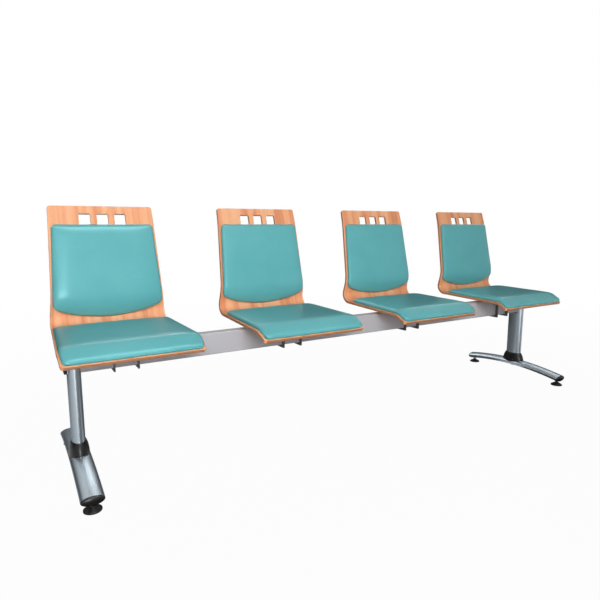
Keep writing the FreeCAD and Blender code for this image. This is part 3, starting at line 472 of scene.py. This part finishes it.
def sheet_places(points, shift):
    """x, distance along the shell and depth from 0 to 1 of each point, for the grain"""
    steps = spread(0, SHELL_LENGTH, PLACE_STEP)
    samples = [shell_at(along) for along in steps]
    line = np.array([[point.x, point.y] for point, _ in samples])
    normals = np.array([[normal.x, normal.y] for _, normal in samples])
    found = np.zeros((len(points), 3))
    for start in range(0, len(points), PLACES_AT_ONCE):
        end = start + PLACES_AT_ONCE
        block = points[start:end, 1:3]
        middle = line + normals * PLY / 2
        gaps = np.linalg.norm(block[:, None, :] - middle[None, :, :], axis=2)
        nearest = gaps.argmin(axis=1)
        offset = block - line[nearest]
        depth = (offset * normals[nearest]).sum(axis=1) / PLY
        found[start:end, 0] = points[start:end, 0] + shift
        found[start:end, 1] = np.array(steps)[nearest]
        found[start:end, 2] = depth
    return found


def mesh_points(mesh):
    """The places of a mesh's points, one row each"""
    return np.array([vert.co[:] for vert in mesh.verts])


def finish_piece(name, mesh, x, node, places):
    """An object made of a mesh, set at x, that rides on the bench in place of a CAD node"""
    data = bpy.data.meshes.new(name)
    mesh.to_mesh(data)
    attribute = data.attributes.new("places", "FLOAT_VECTOR", "POINT")
    attribute.data.foreach_set("vector", places.astype(np.float32).ravel())
    data.shade_smooth()
    piece = bpy.data.objects.new(name, data)
    scene.collection.objects.link(piece)
    piece.location.x = x
    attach(piece, BENCH)
    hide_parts(node)
    return piece


def build_shells(materials):
    """The four shells, each with its own stretch of the grain"""
    mesh = shell_mesh()
    points = mesh_points(mesh)
    for seat, x in SEATS.items():
        places = sheet_places(points, float(seat))
        piece = finish_piece("shell_" + seat, mesh, x, "ply_shell_" + seat, places)
        piece.data.set_sharp_from_angle(angle=SHARP_ANGLE)
        for material in materials:
            piece.data.materials.append(material)
    mesh.free()


# Pads

def quarter_round(distance, radius):
    """Height, from 0 to 1, of a quarter circle at a distance from its foot"""
    share = min(max(distance / radius, 0), 1)
    return math.sqrt(1 - (1 - share) ** 2)


def edge_distances(length, step):
    """Distances across a pad: close together near both edges"""
    near = PAD_EDGE_PLACES
    middle = spread(near[-1], length - near[-1], step)
    return near[:-1] + middle + [length - at for at in reversed(near[:-1])]


def round_corner(across, along):
    """Move a place near a square corner so that the corner becomes a quarter circle"""
    a = 1 - across / PAD_CORNER
    b = 1 - along / PAD_CORNER
    if a <= 0 or b <= 0:
        return across, along, min(across, along)
    a, b = a * math.sqrt(1 - b * b / 2), b * math.sqrt(1 - a * a / 2)
    return PAD_CORNER * (1 - a), PAD_CORNER * (1 - b), PAD_CORNER * (1 - math.hypot(a, b))


def border_rise(inside):
    """Share of the crown reached at a distance from the edge; the pad is level beyond its border"""
    return 1 - max(1 - inside / PAD_BORDER, 0) ** 2


def crease_lift(along):
    """Height that turns the rounded crease of the seat into a sharper one"""
    inside = min(along - FRONT_LENGTH, FRONT_LENGTH + CREASE_LENGTH - along)
    if inside <= 0:
        return 0
    return (CREASE_RADIUS + PLY + PAD_EDGE) * (1 / math.cos(inside / CREASE_RADIUS) - 1)


def pad_grid(half_width_at, low_at, high, row_step):
    """Places (x, along, distance to the edge, crown share) of a pad's face"""
    middle_low = low_at(0)
    columns = edge_distances(2 * half_width_at(middle_low), PAD_COLUMN_STEP)
    rows = edge_distances(high - middle_low, row_step)
    width = columns[-1]
    length = rows[-1]
    side_low = low_at(half_width_at(middle_low))
    grid = []
    for row in rows:
        line = []
        for column in columns:
            right = column > width / 2
            rear = row > length / 2
            across = width - column if right else column
            depth = length - row if rear else row
            across, depth, inside = round_corner(across, depth)
            u = across / width if not right else 1 - across / width
            v = depth / length if not rear else 1 - depth / length
            half = half_width_at(side_low + (high - side_low) * v)
            x = (2 * u - 1) * half
            low = low_at(x)
            crown = border_rise(across) * border_rise(depth)
            line.append((x, low + (high - low) * v, inside, crown))
        grid.append(line)
    return grid


def border_places(row_count, column_count):
    """The outer places of a grid, once round"""
    border = [(0, j) for j in range(column_count - 1)]
    border += [(i, column_count - 1) for i in range(row_count - 1)]
    border += [(row_count - 1, j) for j in range(column_count - 1, 0, -1)]
    border += [(i, 0) for i in range(row_count - 1, 0, -1)]
    return border


def pad_mesh(grid):
    """A closed pad: crowned face, sides that bulge and draw in at the base, flat underside"""
    mesh = bmesh.new()
    base = PLY + PAD_GAP
    side_top = SIDE_TOP_SHARE * PAD_EDGE
    face = []
    under = []
    for line in grid:
        top_row = []
        low_row = []
        for x, along, inside, crown in line:
            height = side_top + (PAD_EDGE - side_top) * quarter_round(inside, PAD_ROUNDING)
            height += PAD_CROWN * crown + crease_lift(along) * border_rise(inside)
            top_row.append(mesh.verts.new(sheet_point(x, along, base + height)))
            low_row.append(mesh.verts.new(sheet_point(x, along, base)))
        face.append(top_row)
        under.append(low_row)
    for i in range(len(grid) - 1):
        for j in range(len(grid[0]) - 1):
            ring = cell_ring(i, j)
            mesh.faces.new([face[a][b] for a, b in ring])
            mesh.faces.new([under[a][b] for a, b in reversed(ring)])
    border = border_places(len(grid), len(grid[0]))
    count = len(border)
    side = []
    for index, (i, j) in enumerate(border):
        x, along, _, _ = grid[i][j]
        before = grid[border[index - 1][0]][border[index - 1][1]]
        after = grid[border[(index + 1) % count][0]][border[(index + 1) % count][1]]
        tangent = Vector((after[0] - before[0], after[1] - before[1])).normalized()
        inward = Vector((-tangent.y, tangent.x)) * PAD_TUCK
        under[i][j].co = sheet_point(x + inward.x, along + inward.y, base)
        ring_x = x + inward.x * RING_TUCK_SHARE
        ring_along = along + inward.y * RING_TUCK_SHARE
        ring_height = base + RING_HEIGHT_SHARE * side_top
        side.append(mesh.verts.new(sheet_point(ring_x, ring_along, ring_height)))
    for index in range(count):
        following = (index + 1) % count
        i, j = border[index]
        k, m = border[following]
        mesh.faces.new([side[index], side[following], face[k][m], face[i][j]])
        mesh.faces.new([under[i][j], under[k][m], side[following], side[index]])
    mesh.verts.index_update()
    held = {vert.index for row in under for vert in row}
    mesh.normal_update()
    return mesh, held


def subdivide(piece):
    """Apply one level of subdivision to a piece's mesh"""
    modifier = piece.modifiers.new("Smooth", "SUBSURF")
    modifier.levels = 1
    modifier.render_levels = 1
    graph = bpy.context.evaluated_depsgraph_get()
    data = bpy.data.meshes.new_from_object(piece.evaluated_get(graph), depsgraph=graph)
    piece.modifiers.remove(modifier)
    piece.data = data


def blown_up(piece):
    """The places of a piece's points after its cover was blown up as cloth, held at its base"""
    cloth = piece.modifiers.new("Cloth", "CLOTH")
    for name, setting in CLOTH.items():
        setattr(cloth.settings, name, setting)
    cloth.settings.effector_weights.gravity = 0
    cloth.collision_settings.use_collision = False
    for number in range(1, SIMULATED_FRAMES + 1):
        scene.frame_set(number)
    graph = bpy.context.evaluated_depsgraph_get()
    shape = piece.evaluated_get(graph).to_mesh()
    moved = np.array([vert.co[:] for vert in shape.vertices])
    piece.modifiers.remove(cloth)
    scene.frame_set(1)
    return moved


def swell(piece):
    """Move a pad's points as its cover swells, capped and evened out between neighbours"""
    rest = np.array([vert.co[:] for vert in piece.data.vertices])
    step = blown_up(piece) - rest
    length = np.linalg.norm(step, axis=1, keepdims=True)
    capped = step * SWELL_CAP / (SWELL_CAP + length)
    ends = np.array([edge.vertices[:] for edge in piece.data.edges])
    neighbours = np.bincount(ends.ravel(), minlength=len(rest))[:, None]
    for _ in range(SWELL_SMOOTHING):
        around = np.zeros_like(capped)
        np.add.at(around, ends[:, 0], capped[ends[:, 1]])
        np.add.at(around, ends[:, 1], capped[ends[:, 0]])
        capped = (capped + around / neighbours) / 2
    for vert, place in zip(piece.data.vertices, rest + capped):
        vert.co = place


def pad_model(name, grid):
    """One simulated pad at the origin, to be copied to each seat"""
    mesh, held = pad_mesh(grid)
    data = bpy.data.meshes.new(name)
    mesh.to_mesh(data)
    mesh.free()
    piece = bpy.data.objects.new(name, data)
    scene.collection.objects.link(piece)
    group = piece.vertex_groups.new(name="held")
    group.add(list(held), 1.0, "REPLACE")
    subdivide(piece)
    swell(piece)
    return piece


def seat_pad_grid():
    """The seat pad follows the sides of the shell at a margin"""
    height = PLY + PAD_GAP
    low = along_where(1, SEAT_PAD_FRONT_Y, height, high=HALF_SHELL)
    high = along_where(1, SEAT_PAD_REAR_Y, height, high=HALF_SHELL)

    def half_width_at(along):
        return shell_half_width(along) - PAD_MARGIN

    return pad_grid(half_width_at, lambda x: low, high, SEAT_PAD_ROW_STEP)


def back_pad_grid():
    """The back pad has straight sides and a bowed lower edge"""
    height = PLY + PAD_GAP

    def along_at(z):
        return along_where(2, z, height, low=HALF_SHELL)

    drop = BACK_PAD_LOW_Z - BACK_PAD_BOTTOM_Z
    sweep = (BACK_PAD_LOW_WIDTH ** 2 + drop ** 2) / (2 * drop)
    low = along_at(BACK_PAD_LOW_Z)
    high = along_at(BACK_PAD_TOP_Z)
    widths = [(low, BACK_PAD_LOW_WIDTH), (high, BACK_PAD_TOP_WIDTH)]

    def low_at(x):
        return along_at(BACK_PAD_BOTTOM_Z + sweep - math.sqrt(sweep ** 2 - x ** 2))

    return pad_grid(lambda along: read_line(widths, along), low_at, high, BACK_PAD_ROW_STEP)


def build_pads(material):
    """A seat pad and a back pad for each seat"""
    for kind, grid in (("seat_pad", seat_pad_grid()), ("back_pad", back_pad_grid())):
        model = pad_model(kind + "_model", grid)
        mesh = bmesh.new()
        mesh.from_mesh(model.data)
        points = mesh_points(mesh)
        for seat, x in SEATS.items():
            places = sheet_places(points, float(seat))
            node = f"{kind}_{seat}"
            piece = finish_piece("vinyl_" + node, mesh, x, node, places)
            piece.data.materials.append(material)
        mesh.free()
        bpy.data.objects.remove(model)


# Materials

class Graph:
    """The nodes of one material or world"""

    def __init__(self, owner, output="OutputMaterial"):
        self.owner = owner
        owner.use_nodes = True
        self.tree = owner.node_tree
        self.tree.nodes.clear()
        self.output = self.node(output)

    def node(self, kind, inputs=None, **settings):
        """Add a node; an input's value is a number, a colour or another node's output"""
        node = self.tree.nodes.new("ShaderNode" + kind)
        for name, setting in settings.items():
            setattr(node, name, setting)
        for name, source in (inputs or {}).items():
            if isinstance(source, bpy.types.NodeSocket):
                self.tree.links.new(source, node.inputs[name])
            else:
                node.inputs[name].default_value = source
        return node

    def surface(self, shader):
        """Use a shader, and give the finished material or world"""
        self.tree.links.new(shader.outputs[0], self.output.inputs["Surface"])
        return self.owner

    def on_sheet(self):
        """Places on the bent sheet, as sheet_places gives them"""
        return self.node("Attribute", attribute_name="places").outputs["Vector"]

    def in_object(self):
        """Places in the object's own frame"""
        return self.node("TexCoord").outputs["Object"]

    def maths(self, operation, first, second=0.0, **settings):
        """A sum, a product or another result of one or two numbers"""
        inputs = {0: first, 1: second}
        return self.node("Math", inputs, operation=operation, **settings).outputs[0]

    def ramp(self, source, stops):
        """A colour ramp with (place, colour) stops"""
        node = self.node("ValToRGB", {"Fac": source})
        elements = node.color_ramp.elements
        while len(elements) < len(stops):
            elements.new(0.5)
        for element, (place, colour) in zip(elements, stops):
            element.position = place
            element.color = (*colour, 1)
        return node.outputs["Color"]

    def scaled(self, vector, scale):
        """Places stretched by a factor along each axis"""
        node = self.node("VectorMath", {0: vector, 1: scale}, operation="MULTIPLY")
        return node.outputs["Vector"]

    def noise(self, vector, scale=1.0, detail=3.0, roughness=0.6):
        """Cloudy numbers round 0.5, finer with a larger scale"""
        inputs = {"Vector": vector, "Scale": scale, "Detail": detail, "Roughness": roughness}
        return self.node("TexNoise", inputs).outputs["Fac"]

    def darkened(self, colour, shade, amount):
        """A colour multiplied by another, by some amount"""
        inputs = {"Factor": amount, MIX_FIRST: colour, MIX_SECOND: shade}
        return self.node("Mix", inputs, data_type="RGBA", blend_type="MULTIPLY").outputs[MIX_RESULT]

    def bump(self, height, strength, distance, normal=None):
        """A surface direction that shows a height, on top of another bump if one is given"""
        inputs = {"Height": height, "Strength": strength, "Distance": distance}
        if normal is not None:
            inputs["Normal"] = normal
        return self.node("Bump", inputs).outputs["Normal"]

    def span(self, source, low, high):
        """A number between 0 and 1 spread over low to high"""
        inputs = {"Value": source, "To Min": low, "To Max": high}
        return self.node("MapRange", inputs).outputs["Result"]


def new_material(name):
    return Graph(bpy.data.materials.new(name))


def beech_face():
    """Matt beech veneer, its grain running up the shell"""
    graph = new_material("beech_face")
    places = graph.on_sheet()
    streaks = graph.noise(graph.scaled(places, STREAK_FINENESS))
    pores = graph.noise(graph.scaled(places, PORE_FINENESS))
    flecks = graph.noise(graph.scaled(places, FLECK_FINENESS), detail=1.0, roughness=0.5)
    colour = graph.ramp(streaks, BEECH_STREAKS)
    colour = graph.darkened(colour, graph.ramp(pores, BEECH_PORES), 0.5)
    colour = graph.darkened(colour, graph.ramp(flecks, BEECH_FLECKS), 0.6)
    return graph.surface(graph.node("BsdfPrincipled", {
        "Base Color": colour,
        "Roughness": graph.span(pores, 0.46, 0.56),
        "Specular IOR Level": 0.12,
        "Normal": graph.bump(pores, strength=0.12, distance=0.0003),
    }))


def beech_edge():
    """The edge of the plywood, with its layers"""
    graph = new_material("beech_edge")
    places = graph.on_sheet()
    depth = graph.node("SeparateXYZ", {0: places}).outputs["Z"]
    layers = graph.maths("FRACT", graph.maths("MULTIPLY", depth, PLY_LAYER_PAIRS))
    grain = graph.noise(graph.scaled(places, PLY_GRAIN_FINENESS))
    colour = graph.ramp(layers, PLY_LAYERS)
    colour = graph.darkened(colour, graph.ramp(grain, PLY_GRAIN), 0.6)
    return graph.surface(graph.node("BsdfPrincipled", {
        "Base Color": colour,
        "Roughness": 0.5,
        "Normal": graph.bump(grain, strength=0.2, distance=0.0003),
    }))


def teal_vinyl():
    """Glossy vinyl with a fine pebbled grain"""
    graph = new_material("teal_vinyl_grain")
    places = graph.scaled(graph.on_sheet(), (1, 1, PLY))
    cells = graph.node("TexVoronoi", {"Vector": places, "Scale": 380.0}, feature="SMOOTH_F1")
    pebble = graph.noise(places, scale=520.0, detail=2.0)
    grain = graph.maths("ADD", cells.outputs["Distance"], pebble)
    broad = graph.noise(places, scale=9.0, roughness=0.5)
    colour = graph.ramp(broad, TEAL)
    colour = graph.darkened(colour, graph.ramp(pebble, TEAL_SPECKS), 0.7)
    soft = graph.bump(broad, strength=0.15, distance=0.004)
    return graph.surface(graph.node("BsdfPrincipled", {
        "Base Color": colour,
        "Roughness": graph.span(broad, 0.27, 0.32),
        "Specular IOR Level": 0.21,
        "Specular Tint": TEAL_SHINE,
        "Normal": graph.bump(grain, strength=0.22, distance=0.0003, normal=soft),
    }))


def painted_steel(name, colours, roughness):
    """Powder-coated steel: an even colour with a faint orange peel"""
    graph = new_material(name)
    places = graph.in_object()
    peel = graph.noise(places, scale=450.0, detail=2.0, roughness=0.5)
    cloud = graph.noise(places, scale=6.0)
    return graph.surface(graph.node("BsdfPrincipled", {
        "Base Color": graph.ramp(cloud, colours),
        "Roughness": graph.span(cloud, roughness - 0.04, roughness + 0.04),
        "Normal": graph.bump(peel, strength=0.08, distance=0.0002),
    }))


def silver_steel():
    """Satin silver with a fine upright grain"""
    graph = new_material("silver_satin")
    places = graph.in_object()
    cloud = graph.noise(places, scale=5.0)
    fine = graph.noise(graph.scaled(places, SILVER_FINENESS), detail=2.0, roughness=0.5)
    return graph.surface(graph.node("BsdfPrincipled", {
        "Base Color": graph.ramp(cloud, SILVER),
        "Metallic": 1.0,
        "Specular Tint": SILVER_RIM,
        "Roughness": graph.span(fine, 0.35, 0.39),
        "Normal": graph.bump(fine, strength=0.015, distance=0.0001),
    }))


def zinc_steel():
    """Zinc-plated fasteners"""
    graph = new_material("zinc_plate")
    cloud = graph.noise(graph.in_object(), scale=60.0)
    return graph.surface(graph.node("BsdfPrincipled", {
        "Base Color": graph.ramp(cloud, ZINC),
        "Metallic": 1.0,
        "Roughness": graph.span(cloud, 0.32, 0.45),
    }))


def black_plastic():
    """Moulded plastic with a fine spark-eroded grain"""
    graph = new_material("black_moulded")
    places = graph.in_object()
    grain = graph.noise(places, scale=1500.0, detail=2.0)
    cloud = graph.noise(places, scale=20.0)
    return graph.surface(graph.node("BsdfPrincipled", {
        "Base Color": graph.ramp(cloud, BLACK),
        "Roughness": graph.span(cloud, 0.32, 0.42),
        "Specular IOR Level": 0.25,
        "Normal": graph.bump(grain, strength=0.12, distance=0.0002),
    }))


def dress_nodes():
    """Give every CAD node the material of its own kind"""
    kinds = {
        "beech_ply": beech_edge(),
        "teal_vinyl": teal_vinyl(),
        "beam_paint": painted_steel("beam_powder_coat", BEAM_COAT, roughness=0.36),
        "dark_steel": painted_steel("dark_powder_coat", DARK_COAT, roughness=0.42),
        "silver_steel": silver_steel(),
        "black_plastic": black_plastic(),
        "zinc_steel": zinc_steel(),
        "black_steel": painted_steel("black_stud", BLACK_COAT, roughness=0.35),
    }
    for part in frame["record"]["subparts"]:
        node = frame["nodes"][part["node"]]
        node.data.materials.clear()
        node.data.materials.append(kinds[part["material_slot"]])
    return kinds


# Stage

def seeing_rays(graph):
    """1 for rays that come from the camera, off a glossy surface or through glass, otherwise 0"""
    path = graph.node("LightPath")
    seen = path.outputs["Is Camera Ray"]
    for name in ("Is Glossy Ray", "Is Transmission Ray"):
        seen = graph.maths("ADD", seen, path.outputs[name], use_clamp=True)
    return seen


def blend(graph, share, first, second):
    """A mix of two shaders, with the share of the second"""
    return graph.node("MixShader", {0: share, 1: first.outputs[0], 2: second.outputs[0]})


def build_floor():
    """A pale floor that looks white and keeps the object's shadow"""
    mesh = bmesh.new()
    bmesh.ops.create_grid(mesh, x_segments=2, y_segments=2, size=FLOOR_REACH)
    data = bpy.data.meshes.new("floor")
    mesh.to_mesh(data)
    mesh.free()
    floor = bpy.data.objects.new("floor", data)
    scene.collection.objects.link(floor)
    graph = new_material("pale_floor")
    pale = graph.node("BsdfDiffuse", {"Color": FLOOR_COLOUR})
    white = graph.node("Emission", {"Color": WHITE, "Strength": 1.0})
    distance = graph.node("VectorMath", {0: graph.in_object()}, operation="LENGTH")
    share = graph.node("MapRange", {
        "Value": distance.outputs["Value"],
        "From Min": NEAR_REACH,
        "From Max": FAR_REACH,
        "To Min": NEAR_WHITE,
        "To Max": FAR_WHITE,
    })
    amount = graph.maths("MULTIPLY", seeing_rays(graph), share.outputs["Result"])
    data.materials.append(graph.surface(blend(graph, amount, pale, white)))


def build_world():
    """A world that looks white and lights the object dimly"""
    scene.world = bpy.data.worlds.new("studio")
    graph = Graph(scene.world, "OutputWorld")
    ambient = graph.node("Background", {"Color": WHITE, "Strength": AMBIENT})
    white = graph.node("Background", {"Color": WHITE, "Strength": 1.0})
    graph.surface(blend(graph, seeing_rays(graph), ambient, white))


def soft_light(name, place, target, size, power):
    """A rectangular lamp aimed at a point"""
    data = bpy.data.lights.new(name, "AREA")
    data.shape = "RECTANGLE"
    data.size, data.size_y = size
    data.energy = power
    lamp = bpy.data.objects.new(name, data)
    scene.collection.objects.link(lamp)
    lamp.location = place
    lamp.rotation_euler = (Vector(target) - Vector(place)).to_track_quat("-Z", "Y").to_euler()
    return lamp


def highlight_light(name, place, target, size, power):
    """A lamp seen only in glossy surfaces: it reaches them past whatever stands in its way"""
    lamp = soft_light(name, place, target, size, power)
    lamp.visible_diffuse = False
    lamp.visible_camera = False
    lamp.data.use_shadow = False
    lamp.data.cycles.use_multiple_importance_sampling = False


def build_lights():
    for name, lamp in SHADING_LAMPS.items():
        soft_light(name, *lamp).visible_glossy = False
    soft_light("behind", *BEHIND_LAMP)
    for name, lamp in HIGHLIGHTS.items():
        highlight_light(name, *lamp)


def glow_card(name, grey, floor_pieces, walls):
    """Cards of one plain grey, seen only in glossy surfaces"""
    corners = [(x, y, CARD_LEVEL) for piece in floor_pieces for x, y in piece]
    for start, end in walls:
        corners += [(start[0], start[1], 0), (end[0], end[1], 0), end, start]
    faces = [tuple(range(first, first + 4)) for first in range(0, len(corners), 4)]
    data = bpy.data.meshes.new(name)
    data.from_pydata(corners, [], faces)
    card = bpy.data.objects.new(name, data)
    scene.collection.objects.link(card)
    for kind in ("camera", "diffuse", "transmission", "volume_scatter", "shadow"):
        setattr(card, "visible_" + kind, False)
    graph = new_material(name)
    glow = graph.node("Emission", {"Color": (grey, grey, grey, 1), "Strength": 1.0})
    data.materials.append(graph.surface(glow))


def build_cards():
    for name, (grey, floor_pieces, walls) in CARDS.items():
        glow_card(name, grey, floor_pieces, walls)


def build_camera():
    """The camera of the photograph"""
    data = bpy.data.cameras.new("camera")
    data.sensor_width = SENSOR
    data.lens = FOCAL_PIXELS * SENSOR / IMAGE_WIDTH
    camera = bpy.data.objects.new("camera", data)
    scene.collection.objects.link(camera)
    back = -CAMERA_FORWARD.normalized()
    right = CAMERA_UP.cross(back).normalized()
    up = back.cross(right)
    turn = Matrix((right, up, back)).transposed()
    camera.matrix_world = Matrix.Translation(CAMERA_PLACE) @ turn.to_4x4()
    scene.camera = camera


def main():
    scene.view_settings.view_transform = "Standard"
    build_camera()
    build_world()
    build_lights()
    build_floor()
    build_cards()
    kinds = dress_nodes()
    build_shells([beech_face(), kinds["beech_ply"]])
    build_pads(kinds["teal_vinyl"])


main()
